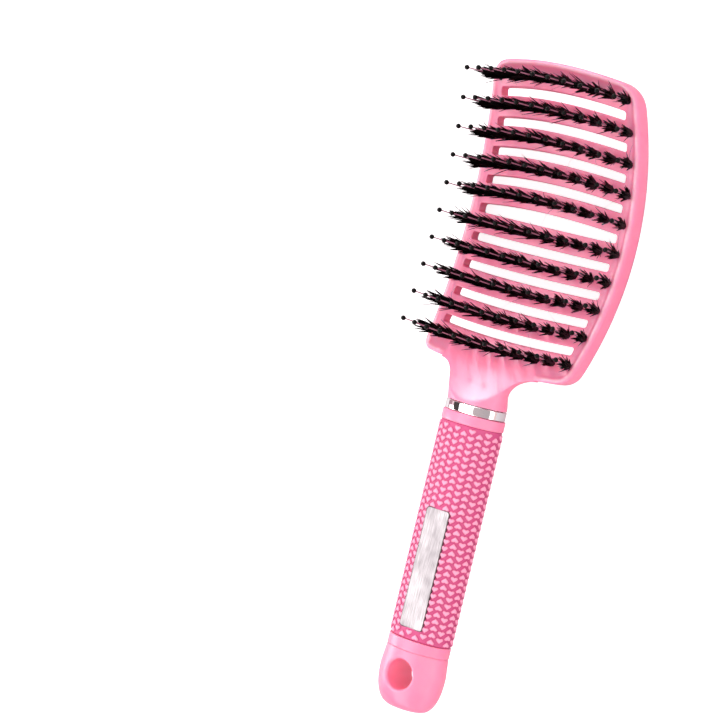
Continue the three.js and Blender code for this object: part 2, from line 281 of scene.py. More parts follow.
def thickened(points, faces, depth):
    """An open sheet made solid: a copy of it lies depth lower, and walls join their edges."""
    count = len(points)
    sides = np.concatenate([faces[:, [k, (k + 1) % 4]] for k in range(4)])
    keys = np.sort(sides, axis=1) @ np.array([count, 1])
    _, first, uses = np.unique(keys, return_index=True, return_counts=True)
    edge = sides[first[uses == 1]]
    walls = np.column_stack([edge[:, 1], edge[:, 0], edge[:, 0] + count, edge[:, 1] + count])
    under = points - np.array([0, 0, depth])
    return np.concatenate([points, under]), [faces, faces[:, ::-1] + count, walls]


def tubes(paths, radii, sides):
    """Many closed tubes at once. Ring k of tube n is a regular polygon about paths[n, k],
    square to the path there, of radius radii[n, k], and a polygon closes each end."""
    count, rings, _ = paths.shape
    way = np.gradient(paths, axis=1)
    way /= np.linalg.norm(way, axis=-1, keepdims=True)
    aside = np.cross(way, [1.0, 0.0, 0.0])
    aside /= np.linalg.norm(aside, axis=-1, keepdims=True)
    other = np.cross(way, aside)
    turn = 2 * np.pi * np.arange(sides)[:, None] / sides
    across = np.cos(turn) * aside[:, :, None] + np.sin(turn) * other[:, :, None]
    points = paths[:, :, None] + radii[:, :, None, None] * across
    start = (np.arange(count) * rings * sides)[:, None, None]
    wall = (start + grid_faces(rings, sides, wrap_columns=True)[None]).reshape(-1, 4)
    low_end = start[:, 0] + np.arange(sides)[None, ::-1]
    high_end = start[:, 0] + (rings - 1) * sides + np.arange(sides)[None]
    return points.reshape(-1, 3), [wall, low_end, high_end]


def oval_sweep(oval, profile, sides=160):
    """A closed profile carried around an oval. A profile point is how far in from the oval
    it lies, and its place along the handle."""
    profile = np.array(profile, float)
    turn = 2 * np.pi * np.arange(sides)[:, None] / sides
    x = (oval[0] - profile[:, 0]) * np.sin(turn)
    z = (oval[1] - profile[:, 0]) * np.cos(turn)
    y = np.broadcast_to(profile[:, 1], x.shape)
    return np.stack([x, y, z], -1), [grid_faces(sides, len(profile), True, True)]


def rounded_band(low, high, depth, radius):
    """The profile of a band on the handle: a rectangle with round outer corners."""
    turn = np.linspace(0, np.pi / 2, 5)
    upper = [(radius - radius * np.sin(a), high - radius + radius * np.cos(a)) for a in turn]
    lower = [(radius - radius * np.cos(a), low + radius - radius * np.sin(a)) for a in turn]
    chamfer = 0.15
    inside = [(depth, low + chamfer), (depth, high - chamfer)]
    return [*upper, *lower, *inside]


# ---- Finishes ---------------------------------------------------------------------------------


def srgb(code):
    """A hex colour as the linear colour that a shader takes."""
    values = np.array([int(code[k : k + 2], 16) for k in (1, 3, 5)]) / 255
    linear = np.where(values <= 0.04045, values / 12.92, ((values + 0.055) / 1.055) ** 2.4)
    return (*(float(v) for v in linear), 1.0)


def feed(tree, node, inputs):
    """Gives a node its inputs. An input is a value, or a socket to link to it."""
    for name, value in inputs.items():
        if isinstance(value, bpy.types.NodeSocket):
            tree.links.new(value, node.inputs[name])
        else:
            node.inputs[name].default_value = value


def add_node(tree, kind, inputs=None, **settings):
    """Adds a node with its settings, then its inputs."""
    made = tree.nodes.new("ShaderNode" + kind)
    for name, value in settings.items():
        setattr(made, name, value)
    feed(tree, made, inputs or {})
    return made


# A colour Mix node has its share, its two colours and its result at these places.
SHARE, FIRST, SECOND, MIXED = 0, 6, 7, 2


def new_finish(name, **shader_values):
    """A material with one shader, and its tree, shader and place in millimetres."""
    finish = bpy.data.materials.new(name)
    finish.use_nodes = True
    tree = finish.node_tree
    shader = tree.nodes["Principled BSDF"]
    feed(tree, shader, {k.replace("_", " "): value for k, value in shader_values.items()})
    place = add_node(tree, "TexCoord").outputs["Object"]
    to_mm = {"Vector": place, "Scale": (1 / MM, 1 / MM, 1 / MM)}
    millimetres = add_node(tree, "Mapping", to_mm).outputs["Vector"]
    return finish, tree, shader, millimetres


def dress(tree, shader, colour, grain, roughness, height, strength, depth):
    """Gives a shader its colour, a roughness that follows a grain from one value to another,
    and a bump of a height field. The depth of the bump is in millimetres."""
    gloss = {"Value": grain, "To Min": roughness[0], "To Max": roughness[1]}
    gloss = add_node(tree, "MapRange", gloss).outputs["Result"]
    bump = {"Height": height, "Strength": strength, "Distance": depth * MM}
    bump = add_node(tree, "Bump", bump).outputs["Normal"]
    feed(tree, shader, {"Base Color": colour, "Roughness": gloss, "Normal": bump})


def moulded_abs(name, pink, pale, highlight_pink):
    """ABS, injection moulded in a polished tool. The eye sees an even, soft gloss with a
    faint ripple. Light that sinks in comes out redder, and the colour drifts a little where
    the plastic flowed. A raised edge gets a painted highlight, a paler pink in noisy patches:
    the attribute "crest" is 1 along it and 0 elsewhere. Sizes are millimetres."""
    flow_size, patch_size, scuff_size, ripple_size, fine_size = 14, 5, 1.6, 3.5, 0.35
    fine_share = 0.06
    finish, tree, shader, place = new_finish(
        name, IOR=1.54, Coat_Weight=0.2, Coat_Roughness=0.28,
        Subsurface_Weight=0.5, Subsurface_Radius=(1.0, 0.16, 0.28), Subsurface_Scale=2.6 * MM)
    flow = {"Vector": place, "Scale": 1 / flow_size, "Detail": 3.0}
    flow = add_node(tree, "TexNoise", flow).outputs["Fac"]
    drift = {"Value": flow, "From Min": 0.35, "From Max": 0.65}
    drift = add_node(tree, "MapRange", drift).outputs["Result"]
    colour = {SHARE: drift, FIRST: srgb(pink), SECOND: srgb(pale)}
    colour = add_node(tree, "Mix", colour, data_type="RGBA").outputs[MIXED]
    # Painted highlight: a paler pink along the rim's crest, broken into patches by noise.
    crest = add_node(tree, "Attribute", attribute_name="crest").outputs["Fac"]
    tone_share = {"Vector": place, "Scale": 1 / patch_size, "Detail": 3.0}
    tone_share = add_node(tree, "TexNoise", tone_share).outputs["Fac"]
    tone_share = {"Value": tone_share, "From Min": 0.3, "From Max": 0.6, "To Min": 0.55}
    tone_share = add_node(tree, "MapRange", tone_share).outputs["Result"]
    tone_share = add_node(tree, "Math", {0: tone_share, 1: crest}, operation="MULTIPLY").outputs["Value"]
    colour = {SHARE: tone_share, FIRST: colour, SECOND: srgb(highlight_pink)}
    colour = add_node(tree, "Mix", colour, data_type="RGBA").outputs[MIXED]
    scuffs = {"Vector": place, "Scale": 1 / scuff_size, "Detail": 5.0}
    scuffs = add_node(tree, "TexNoise", scuffs).outputs["Fac"]
    ripple = {"Vector": place, "Scale": 1 / ripple_size, "Detail": 2.0}
    ripple = add_node(tree, "TexNoise", ripple).outputs["Fac"]
    fine = {"Vector": place, "Scale": 1 / fine_size, "Detail": 2.0}
    fine = add_node(tree, "TexNoise", fine).outputs["Fac"]
    both = {0: fine, 1: fine_share, 2: ripple}
    both = add_node(tree, "Math", both, operation="MULTIPLY_ADD").outputs["Value"]
    dress(tree, shader, colour, scuffs, (0.28, 0.38), both, 0.2, 0.05)
    return finish


def soft_touch_rubber(name, low_pink, high_pink):
    """Thermoplastic rubber, moulded with a satin skin. Its pink is darker in the hollows and
    paler on the tops of the relief, with a grain mixed in: painted shade in the hollows and a
    painted highlight on the tops. The attribute "relief" is 0 in a hollow, 1 on a top."""
    grain_size, grain_share = 0.5, 0.3
    finish, tree, shader, place = new_finish(name, IOR=1.5)
    relief = add_node(tree, "Attribute", attribute_name="relief").outputs["Fac"]
    grain = {"Vector": place, "Scale": 1 / grain_size, "Detail": 4.0}
    grain = add_node(tree, "TexNoise", grain).outputs["Fac"]
    # Painted shade and highlight: the colour follows the relief's height, with some real grain.
    tone_share = {0: grain, 1: grain_share, 2: relief}
    tone_share = add_node(tree, "Math", tone_share, operation="MULTIPLY_ADD").outputs["Value"]
    share = {"Value": tone_share, "From Min": 0.15, "From Max": 1.2}
    share = add_node(tree, "MapRange", share, interpolation_type="SMOOTHSTEP").outputs["Result"]
    colour = {SHARE: share, FIRST: srgb(low_pink), SECOND: srgb(high_pink)}
    colour = add_node(tree, "Mix", colour, data_type="RGBA").outputs[MIXED]
    dress(tree, shader, colour, grain, (0.42, 0.6), grain, 0.4, 0.05)
    return finish


def boar_hair(name):
    """Dyed boar bristle. Each hair has its own shade of black, and its split tip is
    browner and duller. "shade" is one number for a hair, and "along" runs root to tip."""
    scale_size = 0.3
    finish, tree, shader, place = new_finish(name, IOR=1.55, Specular_IOR_Level=0.05)
    shade = add_node(tree, "Attribute", attribute_name="shade").outputs["Fac"]
    along = add_node(tree, "Attribute", attribute_name="along").outputs["Fac"]
    scales = {"Vector": place, "Scale": 1 / scale_size, "Detail": 2.0}
    scales = add_node(tree, "TexNoise", scales).outputs["Fac"]
    tone_share = add_node(tree, "Math", {0: along, 1: 2.5}, operation="POWER").outputs["Value"]
    share = add_node(tree, "Math", {0: tone_share, 1: shade}, operation="MULTIPLY").outputs["Value"]
    colour = {SHARE: share, FIRST: srgb("#020202"), SECOND: srgb("#080707")}
    colour = add_node(tree, "Mix", colour, data_type="RGBA").outputs[MIXED]
    dress(tree, shader, colour, scales, (0.3, 0.55), scales, 0.3, 0.01)
    return finish


def drawn_nylon(name, low, high, roughness, streak, specular):
    """Nylon, drawn or dipped. It has a waxy gloss with small streaks, and a streak's size is
    in millimetres."""
    finish, tree, shader, place = new_finish(name, IOR=1.53, Specular_IOR_Level=specular)
    streaks = {"Vector": place, "Scale": 1 / streak, "Detail": 3.0}
    streaks = add_node(tree, "TexNoise", streaks).outputs["Fac"]
    colour = {SHARE: streaks, FIRST: srgb(low), SECOND: srgb(high)}
    colour = add_node(tree, "Mix", colour, data_type="RGBA").outputs[MIXED]
    dress(tree, shader, colour, streaks, roughness, streaks, 0.2, 0.02)
    return finish


def lined_metal(name, dark, light, roughness, line, stretch, depth):
    """Metal with a direction, such as brushed sheet or wiped chrome. Noise is stretched
    along the lines. Line is the width of one in millimetres, drawn coarser than real so
    that it shows, and stretch is how the three axes are drawn out."""
    cloud_size = 9
    finish, tree, shader, place = new_finish(name, Metallic=1.0)
    drawn = add_node(tree, "Mapping", {"Vector": place, "Scale": stretch}).outputs["Vector"]
    lines = {"Vector": drawn, "Scale": 1 / line, "Detail": 4.0}
    lines = add_node(tree, "TexNoise", lines).outputs["Fac"]
    clouds = {"Vector": place, "Scale": 1 / cloud_size, "Detail": 2.0}
    clouds = add_node(tree, "TexNoise", clouds).outputs["Fac"]
    mixed = add_node(tree, "Math", {0: clouds, 1: lines}, operation="MULTIPLY")
    share = {"Value": mixed.outputs["Value"], "From Min": 0.12, "From Max": 0.4}
    share = add_node(tree, "MapRange", share).outputs["Result"]
    colour = {SHARE: share, FIRST: srgb(dark), SECOND: srgb(light)}
    colour = add_node(tree, "Mix", colour, data_type="RGBA").outputs[MIXED]
    dress(tree, shader, colour, lines, roughness, lines, 0.25, depth)
    return finish


# The third colour is the painted highlight along the rim's crest.
HEAD_PINK = moulded_abs("moulded_abs_pink", "#fb7fa2", "#fc88a8", "#fdb6c9")
RUBBER_PINK = soft_touch_rubber("soft_touch_rubber_pink", "#c24377", "#f29ab6")
HAIR_BLACK = boar_hair("dyed_boar_hair")
QUILL_PINK = drawn_nylon("drawn_nylon_pink", "#8e4a62", "#b87890", (0.4, 0.55), 1.2, 0.5)
BALL_BLACK = drawn_nylon("dipped_nylon_black", "#010101", "#030303", (0.06, 0.12), 0.5, 0.12)
CHROME = lined_metal("wiped_chrome", "#e9e7ea", "#f7f6f8", (0.04, 0.1), 0.4, (1, 5, 1), 0.002)
PEARL = lined_metal(
    "brushed_pearl_silver", "#70696c", "#aaa3a5", (0.26, 0.4), 0.25, (1, 0.04, 1), 0.01)
# Painted shade: the dark metal of the slab that stands in for the shade line round the plate.
PLATE_SHADOW_LINE = lined_metal(
    "shadow_line_dark_metal", "#4a3c40", "#6e5c61", (0.35, 0.5), 0.3, (1, 0.1, 1), 0.02)
NICKEL = lined_metal("ground_nickel", "#9c9a9c", "#bdbbbd", (0.2, 0.35), 0.2, (0.1, 1, 1), 0.01)

PINK_SLOT = "gloss_pink"
SLEEVE_SLOT = "sleeve_pink"
BRISTLE_SLOT = "bristle_black"
CHROME_SLOT = "chrome_ring"
PLATE_SLOT = "plate_silver"
MAGNET_SLOT = "magnet_grey"

# ---- Head -------------------------------------------------------------------------------------


def right_outline():
    """The right half of the head's outline, from the bottom's middle to the top's middle.

    Shallow parabolas make the two ends, the side is half_width, and a quadratic Bezier
    rounds each corner."""

    def bottom(x):
        return HEAD_BOTTOM_Y + BOTTOM_BOW * x**2

    def top(x):
        return HEAD_TOP_Y + TOP_BOW * x**2

    def meeting(edge, y):
        for _ in range(8):
            y = edge(half_width(y))
        return np.array([half_width(y), y])

    def bezier(start, corner, end):
        t = np.linspace(0, 1, 24)[:, None]
        return (1 - t) ** 2 * start + 2 * t * (1 - t) * corner + t**2 * end

    low, high = meeting(bottom, HEAD_BOTTOM_Y), meeting(top, HEAD_TOP_Y)
    x_low = np.linspace(0, low[0] - BOTTOM_CORNER, 60)
    x_high = np.linspace(high[0] - TOP_CORNER, 0, 60)
    y_side = np.linspace(low[1] + BOTTOM_CORNER, high[1] - TOP_CORNER, 120)
    ends = np.stack([x_low, bottom(x_low)], -1), np.stack([x_high, top(x_high)], -1)
    side = np.stack([half_width(y_side), y_side], -1)
    low_round = bezier(ends[0][-1], low, side[0])
    high_round = bezier(side[-1], high, ends[1][0])
    return np.concatenate([ends[0][:-1], low_round[:-1], side[:-1], high_round[:-1], ends[1]])


def evenly(line, count):
    """The same line with its points evenly spaced along it."""
    steps = np.linalg.norm(np.diff(line, axis=0), axis=1)
    reach = np.concatenate([[0], np.cumsum(steps)])
    wanted = np.linspace(0, reach[-1], count)
    return np.stack([np.interp(wanted, reach, line[:, k]) for k in range(line.shape[1])], -1)


def head_rim():
    """The raised rim and its skirt: a profile carried around the head's outline.

    A profile point is how far in from the outline it lies, and its height over the bed. The
    rim sinks into the bed where it would cross the neck."""
    half = evenly(right_outline(), 260)
    outline = np.concatenate([half, half[-2:0:-1] * [-1, 1]])
    along = np.roll(outline, -1, 0) - np.roll(outline, 1, 0)
    along /= np.linalg.norm(along, axis=1, keepdims=True)
    inward = np.stack([-along[:, 1], along[:, 0]], -1)
    profile = np.array([
        (0.7, -RIM_SKIRT), (0.28, -RIM_SKIRT + 0.12), (0.04, -RIM_SKIRT + 0.5),
        (0, -4), (0, -2), (0, -0.4), (0.02, 0.2), (0.14, 0.62), (0.38, 0.95), (0.72, 1.14),
        (1.1, 1.2), (1.45, 1.15), (1.8, 1.0), (2.15, 0.79), (2.6, 0.58), (3.1, 0.43),
        (3.6, 0.35), (4.15, 0.28), (4.15, -0.3), (2.3, -0.9), (2.0, -1.6), (2.0, -3.6),
        (2.0, -RIM_SKIRT + 0.5), (1.86, -RIM_SKIRT + 0.12), (1.4, -RIM_SKIRT),
    ])
    inset, height = profile[:, 0], profile[:, 1]
    neck_reach_y, neck_side, full_rim = 4, 19, 26
    by_neck = outline[:, 1] < HEAD_BOTTOM_Y + neck_reach_y
    standing = smoothstep(np.abs(outline[:, 0]), neck_side, full_rim)
    standing = np.where(by_neck, standing, 1)
    plan = outline[:, None] + inset[None, :, None] * inward[:, None]
    sunk = np.minimum(height, BED_HEIGHT - 0.06)
    lift = sunk + (height - sunk) * standing[:, None]
    points = on_bed(plan[..., 0], plan[..., 1], lift)
    faces = [grid_faces(len(outline), len(profile), True, True)]
    # The crest mask: moulded_abs paints a paler pink here, a painted highlight along the rim's
    # crest.
    crest = np.interp(inset, [0.5, 0.95, 1.5, 2.0], [0, 1, 1, 0]) * (height > 0)
    crest = crest * standing[:, None]
    return piece("head_rim", points, faces, HEAD_PINK, PINK_SLOT, ["head_frame"], crest=crest)


def head_bed():
    """The ribs and the margin: one sheet with a vent between each two rows, made solid.

    The sheet is a grid. Its lines along the brush follow the ribs' edges, and its columns
    gather at the ends of the vents. A point near a vent drops by a quarter circle of
    EDGE_ROUND, from its distance to the vent's rounded outline."""
    inner = right_outline()
    low_y, high_y = HEAD_BOTTOM_Y + BED_UNDER_END, HEAD_TOP_Y - BED_UNDER_END
    reach_x, reach_y = inner[:, 0] - BED_UNDER_SIDE, np.clip(inner[:, 1], low_y, high_y)
    middle_columns = 97
    share = np.linspace(-1, 1, middle_columns)
    corner = np.sin(np.radians([18, 36, 54, 72, 90]))
    edge_steps = EDGE_ROUND * (1 - np.cos(np.radians([22, 45, 67, 90])))
    margin_steps = np.array([0.35, 0.65, 1.0])

    def columns(end, side):
        """X of every column on a line, where its vents end at end and it ends at side."""
        round_off = end - VENT_CORNER * (1 - corner)
        beyond = end + edge_steps
        outer = beyond[-1] + (side - beyond[-1]) * margin_steps
        right = np.concatenate([round_off, beyond, outer])
        return np.concatenate([-right[::-1], share * (end - VENT_CORNER), right])

    def vent_end(k):
        return half_width((row_y(k) + row_y(k + 1)) / 2) - MARGIN_WIDTH

    def vent_edge(k, x, up):
        """The lower or upper edge of vent k at x. Past its round corners it stays straight."""
        middle = (row_curve(k, x) + row_curve(k + 1, x)) / 2
        half_gap = (row_curve(k + 1, x) - row_curve(k, x) - RIB_WIDTH) / 2
        past = np.clip((np.abs(x) - vent_end(k)) / VENT_CORNER + 1, 0, 1)
        return middle + up * (half_gap - VENT_CORNER + VENT_CORNER * np.sqrt(1 - past**2))

    def bottom(x):
        return low_y + BOTTOM_BOW * x**2

    def top(x):
        return high_y + TOP_BOW * x**2

    def side_of(curve):
        """Where a line reaches the inside of the rim, by halving the doubt."""
        low, high = 20.0, HEAD_HALF_WIDTH
        for _ in range(30):
            x = (low + high) / 2
            low, high = (x, high) if np.interp(curve(x), reach_y, reach_x) > x else (low, x)
        return low

    lines = []

    def add_band(lower, upper, low_end, high_end, shares, is_vent):
        for t in shares:
            def curve(x, t=t):
                return (1 - t) * lower(x) + t * upper(x)
            x = columns((1 - t) * low_end + t * high_end, side_of(curve))
            lines.append((x, curve(x), is_vent))

    rib_edge = edge_steps / RIB_WIDTH
    rib_shares = np.concatenate([[0], rib_edge, [0.2, 0.35, 0.5, 0.65, 0.8], 1 - rib_edge[::-1]])
    end_shares = np.linspace(0, 1, 17)[:-1] ** 0.9
    end_shares = np.sort(np.concatenate([end_shares, 1 - rib_edge[::-1] * 0.8]))
    top_shares = [*(1 - end_shares[::-1])[:-1], 1.0]

    def edge(k, up):
        return lambda x: vent_edge(k, x, up)

    last = ROWS - 2
    add_band(bottom, edge(0, -1), vent_end(0), vent_end(0), end_shares, False)
    for k in range(ROWS - 1):
        add_band(edge(k, -1), edge(k, 1), vent_end(k), vent_end(k), [0, 0.5], True)
        if k < last:
            next_edge = edge(k + 1, -1)
            add_band(edge(k, 1), next_edge, vent_end(k), vent_end(k + 1), rib_shares, False)
    add_band(edge(last, 1), top, vent_end(last), vent_end(last), top_shares, False)

    x = np.array([line[0] for line in lines])
    y = np.array([line[1] for line in lines])
    height = np.full(x.shape, BED_HEIGHT)
    for k in range(ROWS - 1):
        aside = np.abs(x) - (vent_end(k) - VENT_CORNER)
        middle = (row_curve(k, x) + row_curve(k + 1, x)) / 2
        half_gap = (row_curve(k + 1, x) - row_curve(k, x) - RIB_WIDTH) / 2
        along = np.abs(y - middle) - (half_gap - VENT_CORNER)
        away = np.hypot(np.maximum(aside, 0), np.maximum(along, 0)) - VENT_CORNER
        short = EDGE_ROUND - np.clip(away, 0, EDGE_ROUND)
        height -= EDGE_ROUND - np.sqrt(EDGE_ROUND**2 - short**2)
    points = on_bed(x, y, height).reshape(-1, 3)

    rows, across = x.shape
    faces = grid_faces(rows, across).reshape(rows - 1, across - 1, 4)
    is_vent = np.array([line[2] for line in lines[:-1]])[:, None]
    column = np.arange(across - 1)[None, :]
    edge_columns = (across - middle_columns) // 2 - len(corner)
    inside = (column >= edge_columns) & (column < across - 1 - edge_columns)
    faces = faces[~(is_vent & inside)]
    used, faces = np.unique(faces, return_inverse=True)
    points, faces = thickened(points[used], faces.reshape(-1, 4), BED_DEPTH)
    return piece("head_bed", points, faces, HEAD_PINK, PINK_SLOT, ["head_frame"], sharp=50)


def head_neck():
    """The neck: sections that change from the handle's oval to the crowned head.

    A section is an oval whose corners square up towards the head. Its front is the lower of
    the rounded neck and the bed's saddle run on down to the ring, joined by a soft minimum,
    so that a fan-shaped hollow lies between two ridges. It sinks under the bed by the
    lowest row."""
    sides, sections = 256, 110
    front_over_bed, back_over_skirt = 2.8, 0.3
    sink_depth, sink_from, sink_to = 1.2, 2.6, 0.8
    over_bed, softness = 0.03, 0.22
    turn = 2 * np.pi * np.arange(sides)[None, :] / sides
    y = np.linspace(NECK_BOTTOM_Y, NECK_TOP_Y, sections)[:, None]
    forward, sideways = np.cos(turn), np.sin(turn)
    blend = smoothstep(y, NECK_BOTTOM_Y, HEAD_BOTTOM_Y)
    front = NECK_OVAL[1] + (saddle_z(y) + front_over_bed - NECK_OVAL[1]) * blend
    back = saddle_z(y) - RIM_SKIRT + back_over_skirt
    back = -NECK_OVAL[1] + (back + NECK_OVAL[1]) * blend
    x = neck_half_width(y) * sideways
    squareness = np.sign(forward) * np.abs(forward) ** (1 - 0.5 * blend)
    z = (front + back) / 2 + (front - back) / 2 * squareness - blend * crown_drop(x)
    lowest_row = row_curve(0, x)
    sink = sink_depth * smoothstep(y, lowest_row - sink_from, lowest_row - sink_to)
    hollow = saddle_z(y) - crown_drop(x) + BED_HEIGHT + over_bed - sink
    lower = -softness * np.logaddexp(-z / softness, -hollow / softness)
    z = np.where(forward > 0, lower, np.minimum(z, hollow))
    points = np.stack([x, np.broadcast_to(y, x.shape), z], -1)
    faces = grid_faces(*x.shape, wrap_columns=True)
    ring = np.arange(x.shape[1])[None]
    ends = np.concatenate([ring[:, ::-1], ring + (x.shape[0] - 1) * x.shape[1]])
    return piece("head_neck", points, [faces, ends], HEAD_PINK, PINK_SLOT, ["head_frame"])


# ---- Bristles ---------------------------------------------------------------------------------


def pin_places(i):
    """Where the tufts of row i stand on the bed, and which way they point.

    They are evenly spaced along the crown. A pin is square to the crown, and leans along
    the brush by an angle that falls from the handle to the top."""
    reach = math.asin((half_width(row_y(i)) - TUFT_TO_EDGE) / CROWN_RADIUS)
    aside = np.linspace(-reach, reach, TUFTS)
    x = CROWN_RADIUS * np.sin(aside)
    y = row_curve(i, x)
    lean = np.radians(PIN_LEAN - PIN_LEAN_PER_MM * (y - WIDEST_Y))
    way = [np.sin(aside) * np.cos(lean), np.sin(lean), np.cos(aside) * np.cos(lean)]
    return on_bed(x, y, BED_HEIGHT), np.stack(way, -1)


def kept_in(paths):
    """Hair paths with their way out to the side eased off, so that none passes the outermost
    ball tips: beyond a soft limit, x runs on along a falling exponential."""
    soft, hard = 35.5, 38.2
    past = np.maximum(np.abs(paths[..., 0]) - soft, 0)
    eased = soft + (hard - soft) * (1 - np.exp(-past / (hard - soft)))
    x = np.where(past > 0, np.sign(paths[..., 0]) * eased, paths[..., 0])
    return np.concatenate([x[..., None], paths[..., 1:]], -1)


def hair_tubes(rng, roots, way):
    """The hairs of a row's tufts, root to tip, as paths and radii.

    A tuft is a ring of locks, spread over its round root by the golden angle. A lock leans
    out by its distance from the middle, and its hairs draw together towards its tip, with
    small errors, so that the tuft ends in blunt spikes. Some locks are barbs, shorter and
    leaning further out, and a few reach on past the rest."""
    aside = np.cross(way, [0.0, 1.0, 0.0])
    aside /= np.linalg.norm(aside, axis=-1, keepdims=True)
    other = np.cross(way, aside)
    aside, other, way = (a[:, None, None] for a in (aside, other, way))
    shape = (len(roots), LOCKS_IN_TUFT, 1, 1)
    ring = np.sqrt((np.arange(LOCKS_IN_TUFT) + 0.5) / LOCKS_IN_TUFT)[None, :, None, None]
    turn = np.arange(LOCKS_IN_TUFT)[None, :, None, None] * np.pi * (3 - np.sqrt(5))
    turn = turn + rng.uniform(0, 2 * np.pi, (len(roots), 1, 1, 1)) + rng.normal(0, 0.25, shape)
    barb = rng.random(shape) < BARB_ODDS
    spread = 0.02 + 0.055 * ring + np.abs(rng.normal(0, 0.03, shape)) + BARB_SPREAD * barb
    reach = rng.choice(LOCK_REACHES, shape, p=LOCK_REACH_ODDS) * np.where(barb, BARB_REACH, 1.0)
    lock_length = HAIR_LENGTH * reach * rng.uniform(0.95, 1.05, shape)
    each = (len(roots), LOCKS_IN_TUFT, HAIRS_IN_LOCK, 1)
    around, off = rng.uniform(0, 2 * np.pi, each), 0.42 * np.sqrt(rng.random(each))

    def across(angle, size):
        return size * (np.cos(angle) * aside + np.sin(angle) * other)

    root_size = ring * (TUFT_ROOT_RADIUS - 0.35)
    start = roots[:, None, None] + across(turn, root_size) + across(around, off) - way * 0.6
    length = lock_length * rng.uniform(0.86, 1.0, each)
    loose = (rng.random(each) < LOOSE_ODDS) * rng.uniform(0.1, 0.3, each)
    lean = across(turn, spread * length) + across(around, 0.012 * length + loose * length)
    t = np.linspace(0, 1, HAIR_RINGS)[:, None, None, None, None]
    paths = start + length * way * t + lean * t**1.2 - across(around, off) * 0.75 * t
    paths = kept_in(np.moveaxis(paths, 0, -2).reshape(-1, HAIR_RINGS, 3))
    radii = np.tile(HAIR_RADIUS * np.array(HAIR_TAPER), (len(paths), 1))
    return paths, radii * rng.uniform(0.75, 1.15, (len(paths), 1))


def stray_tubes(rng, roots, way):
    """A few long, thin hairs that have worked loose and curve away from their tufts."""
    pick = rng.choice(len(roots), STRAYS_IN_ROW, replace=False)
    start, way = roots[pick, None] - way[pick, None] * 0.3, way[pick, None]
    angle = rng.uniform(0, 2 * np.pi, (STRAYS_IN_ROW, 1, 1))
    out = np.concatenate([np.cos(angle), np.sin(angle), 0 * angle], -1)
    length = rng.uniform(11, 15, (STRAYS_IN_ROW, 1, 1))
    t = np.linspace(0, 1, HAIR_RINGS)[None, :, None]
    paths = start + length * (way * (t - 0.25 * t**3) + out * (0.25 * t + 0.35 * t**2))
    paths = kept_in(paths)
    return paths, np.tile(STRAY_RADIUS * np.array(STRAY_TAPER), (STRAYS_IN_ROW, 1))


def along_pins(roots, way, steps):
    """Points at the same distances along every pin of a row, from its root."""
    return roots[:, None] + np.array(steps)[None, :, None] * way[:, None]


def bristle_row(i):
    """One row, in three pieces: the boar-hair tufts, the quills and the ball tips.

    Each tuft has a spindle inside it, so that it is dense and lets no light through."""
    number = f"{ROWS - i:02d}"
    node = f"bristle_row_{number}"
    rng = np.random.default_rng(100 + i)
    roots, way = pin_places(i)
    hair_paths, hair_radii = hair_tubes(rng, roots, way)
    stray_paths, stray_radii = stray_tubes(rng, roots, way)
    paths = np.concatenate([hair_paths, stray_paths])
    radii = np.concatenate([hair_radii, stray_radii])
    points, faces = tubes(paths, radii, HAIR_SIDES)
    shade = np.repeat(rng.random(len(paths)), HAIR_RINGS * HAIR_SIDES)
    along = np.tile(np.repeat(np.linspace(0, 1, HAIR_RINGS), HAIR_SIDES), len(paths))
    spindle = along_pins(roots, way, [-0.6, 0.0, 3.0, 6.5, 9.2])
    spindle_radii = np.tile([1.25, 1.3, 1.35, 1.15, 0.2], (TUFTS, 1))
    spindle_points, spindle_faces = tubes(spindle, spindle_radii, 8)
    faces = faces + [block + len(points) for block in spindle_faces]
    points = np.concatenate([points, spindle_points])
    shade = np.concatenate([shade, np.full(len(spindle_points), 0.2)])
    along = np.concatenate([along, np.zeros(len(spindle_points))])
    piece(f"tufts_row_{number}", points, faces, HAIR_BLACK, BRISTLE_SLOT, [node], 80,
          shade=shade, along=along)

    quills = along_pins(roots, way, [-0.5, 4.0, 9.0, 13.0, QUILL_LENGTH - 0.5])
    taper = QUILL_RADIUS * np.array([1.15, 1.05, 1.0, 0.92, 0.85])
    points, faces = tubes(quills, np.tile(taper, (TUFTS, 1)), 8)
    piece(f"quills_row_{number}", points, faces, QUILL_PINK, BRISTLE_SLOT, [node], 60)

    turn = np.radians([6, 32, 58, 90, 122, 148, 174])
    balls = along_pins(roots, way, QUILL_LENGTH - BALL_RADIUS * np.cos(turn))
    points, faces = tubes(balls, np.tile(BALL_RADIUS * np.sin(turn), (TUFTS, 1)), 10)
    piece(f"ball_tips_row_{number}", points, faces, BALL_BLACK, BRISTLE_SLOT, [node], 60)


# ---- Handle -----------------------------------------------------------------------------------


def half_sizes(low, high):
    """The half width and half thickness of a box, across the handle."""
    return (high[0] - low[0]) / 2, (high[2] - low[2]) / 2


def chrome_ring():
    """The ferrule: a low band with round corners, carried around the handle's oval."""
    low, high = cad_span("ferrule_ring")
    profile = rounded_band(low[1], high[1], 1.4, 0.35)
    points, faces = oval_sweep(half_sizes(low, high), profile, 240)
    piece("chrome_ring", points, faces, CHROME, CHROME_SLOT, ["ferrule_ring"])


def collars():
    """The smooth collar over the sleeve and the one under it."""
    profile = rounded_band(sleeve_high[1] + 0.05, core_high[1] + 0.15, 2.4, 0.45)
    points, faces = oval_sweep(half_sizes(core_low, core_high), profile, 240)
    piece("upper_collar_band", points, faces, HEAD_PINK, PINK_SLOT, ["handle_core"])
    profile = rounded_band(collar_low[1], collar_high[1] + 0.2, 2.4, 0.4)
    points, faces = oval_sweep(half_sizes(collar_low, collar_high), profile, 240)
    piece("lower_collar_band", points, faces, HEAD_PINK, PINK_SLOT, ["lower_collar"])


def sleeve_oval():
    """The oval of the sleeve's ground, between its hearts."""
    across, thick = half_sizes(sleeve_low, sleeve_high)
    return across - 0.15, thick - 0.2


